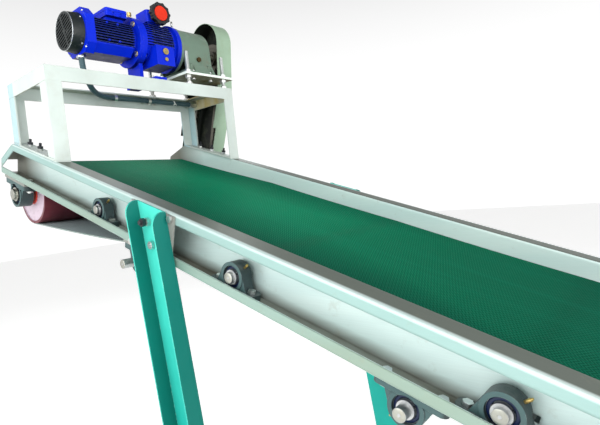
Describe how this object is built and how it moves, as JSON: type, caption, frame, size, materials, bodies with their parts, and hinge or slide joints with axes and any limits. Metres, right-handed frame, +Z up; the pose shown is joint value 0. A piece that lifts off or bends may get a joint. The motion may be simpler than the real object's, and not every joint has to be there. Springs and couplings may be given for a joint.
{
  "type": "inclined belt conveyor",
  "caption": "Inclined flat belt conveyor on channel legs, its belt on drums and rollers in pillow blocks, with a bridge-mounted variable-speed gearmotor and chain drive to the head drum.",
  "frame": {"origin": "floor level under the middle of the whole conveyor", "axes": "+X horizontal from the head (discharge) end to the tail, +Y from the motor side to the chain side, +Z up"},
  "size_m": [2.9946, 0.974, 2.0051],
  "materials": {
    "stainless": "brushed sheet",
    "leg_paint": "mint green enamel",
    "bridge_paint": "off-white enamel",
    "belt_green": "ribbed green cover on grey fabric",
    "drum_red": "red primer shell",
    "roller_steel": "turned steel",
    "shaft_steel": "ground bar",
    "casting_dark": "painted blue-black casting",
    "bearing_steel": "bearing steel",
    "brass": "machined",
    "zinc": "zinc plated",
    "bracket_grey": "grey steel plate",
    "motor_blue": "gloss blue enamel",
    "fan_black": "black cowl",
    "copper_core": "laminated core",
    "wheel_black": "moulded",
    "wheel_orange": "moulded",
    "glass_clear": "sight glass",
    "reducer_green": "grey-green enamel on casting",
    "gear_steel": "cut gear",
    "chain_steel": "oiled chain",
    "guard_paint": "pale grey-green sheet",
    "conduit_grey": "grey hose"
  },
  "bodies": {
    "frame": {"bearing_bolts": "zinc", "bearing_inserts": "bearing_steel", "bearing_packers": "bracket_grey", "belt": "belt_green", "bridge_beams": "bridge_paint", "bridge_posts": "bridge_paint", "chain_guard": "guard_paint", "conduit": "conduit_grey", "conduit_fittings": "zinc", "control_box": "motor_blue", "cross_tubes": "stainless", "drive_chain": "chain_steel", "drum_bearing_housings": "casting_dark", "eye_bolt": "zinc", "fan_cover": "fan_black", "far_rail": "stainless", "frame_bolts": "zinc", "grease_nipples": "brass", "head_legs": "leg_paint", "leg_brackets": "bracket_grey", "leg_feet": "leg_paint", "motor_end_shield": "motor_blue", "motor_flange": "motor_blue", "motor_frame": "motor_blue", "motor_plate": "bracket_grey", "near_rail": "stainless", "oil_fittings": "brass", "output_flange": "motor_blue", "reducer_housing": "reducer_green", "rod_nuts": "zinc", "roller_bearing_housings": "casting_dark", "sight_glass": "glass_clear", "stator": "copper_core", "tail_legs": "leg_paint", "take_up_screws": "zinc", "terminal_box": "motor_blue", "terminal_lid": "motor_blue", "threaded_rods": "zinc", "variator_housing": "motor_blue"},
    "head_drum_set": {"head_drum": "drum_red", "head_shaft": "shaft_steel", "driven_sprocket": "chain_steel"},
    "tail_drum_set": {"tail_drum": "drum_red"},
    "output_set": {"output_shaft": "shaft_steel", "output_wheel": "gear_steel", "drive_sprocket": "chain_steel"},
    "layshaft_set": {"layshaft": "gear_steel"},
    "input_set": {"input_pinion": "gear_steel"},
    "rotor_set": {"motor_rotor": "gear_steel", "cooling_fan": "fan_black"},
    "handwheel_set": {"handwheel": "wheel_black", "handwheel_cap": "wheel_orange", "control_spindle": "shaft_steel"},
    "carrier_1": {"carrying_roller_1": "roller_steel"},
    "carrier_2": {"carrying_roller_2": "roller_steel"},
    "carrier_3": {"carrying_roller_3": "roller_steel"},
    "carrier_4": {"carrying_roller_4": "roller_steel"},
    "returner_1": {"return_roller_1": "roller_steel"},
    "returner_2": {"return_roller_2": "roller_steel"},
    "returner_3": {"return_roller_3": "roller_steel"}
  },
  "joints": [
    {"name": "head_drum_spin", "type": "hinge", "parent": "frame", "child": "head_drum_set", "pos_m": [-1.37611, 0, 1.2659], "axis": [0, 1, 0], "continuous": true},
    {"name": "tail_drum_spin", "type": "hinge", "parent": "frame", "child": "tail_drum_set", "pos_m": [1.33641, 0, 0.42113], "axis": [0, 1, 0], "continuous": true},
    {"name": "carrier_1_spin", "type": "hinge", "parent": "frame", "child": "carrier_1", "pos_m": [-0.76657, 0, 1.1772], "axis": [0, 1, 0], "continuous": true},
    {"name": "carrier_2_spin", "type": "hinge", "parent": "frame", "child": "carrier_2", "pos_m": [-0.20292, 0, 0.99948], "axis": [0, 1, 0], "continuous": true},
    {"name": "carrier_3_spin", "type": "hinge", "parent": "frame", "child": "carrier_3", "pos_m": [0.36072, 0, 0.82176], "axis": [0, 1, 0], "continuous": true},
    {"name": "carrier_4_spin", "type": "hinge", "parent": "frame", "child": "carrier_4", "pos_m": [0.92437, 0, 0.64405], "axis": [0, 1, 0], "continuous": true},
    {"name": "returner_1_spin", "type": "hinge", "parent": "frame", "child": "returner_1", "pos_m": [-0.58241, 0, 1.02634], "axis": [0, 1, 0], "continuous": true},
    {"name": "returner_2_spin", "type": "hinge", "parent": "frame", "child": "returner_2", "pos_m": [0.20244, 0, 0.79198], "axis": [0, 1, 0], "continuous": true},
    {"name": "returner_3_spin", "type": "hinge", "parent": "frame", "child": "returner_3", "pos_m": [1.03981, 0, 0.52796], "axis": [0, 1, 0], "continuous": true},
    {"name": "output_shaft_spin", "type": "hinge", "parent": "frame", "child": "output_set", "pos_m": [-1.1535, 0.267, 1.841], "axis": [0, 1, 0], "continuous": true},
    {"name": "layshaft_spin", "type": "hinge", "parent": "frame", "child": "layshaft_set", "pos_m": [-1.1535, 0.267, 1.788], "axis": [0, 1, 0], "continuous": true},
    {"name": "input_pinion_spin", "type": "hinge", "parent": "frame", "child": "input_set", "pos_m": [-1.1535, 0.229, 1.841], "axis": [0, 1, 0], "continuous": true},
    {"name": "motor_rotor_spin", "type": "hinge", "parent": "frame", "child": "rotor_set", "pos_m": [-1.1535, -0.177, 1.841], "axis": [0, 1, 0], "continuous": true},
    {"name": "handwheel_turn", "type": "hinge", "parent": "frame", "child": "handwheel_set", "pos_m": [-1.0855, 0.118, 1.961], "axis": [1, 0, 0], "range_deg": [-900, 900]}
  ],
  "couplings": [
    {"joint": "tail_drum_spin", "follows": "head_drum_spin", "ratio": 1.4663},
    {"joint": "carrier_1_spin", "follows": "head_drum_spin", "ratio": 3.0253},
    {"joint": "carrier_2_spin", "follows": "head_drum_spin", "ratio": 3.0253},
    {"joint": "carrier_3_spin", "follows": "head_drum_spin", "ratio": 3.0253},
    {"joint": "carrier_4_spin", "follows": "head_drum_spin", "ratio": 3.0253},
    {"joint": "returner_1_spin", "follows": "head_drum_spin", "ratio": -3.7937},
    {"joint": "returner_2_spin", "follows": "head_drum_spin", "ratio": -3.7937},
    {"joint": "returner_3_spin", "follows": "head_drum_spin", "ratio": -3.7937},
    {"joint": "output_shaft_spin", "follows": "head_drum_spin", "ratio": 1.4737},
    {"joint": "layshaft_spin", "follows": "head_drum_spin", "ratio": -3.7333},
    {"joint": "input_pinion_spin", "follows": "head_drum_spin", "ratio": 9.4578}
  ]
}
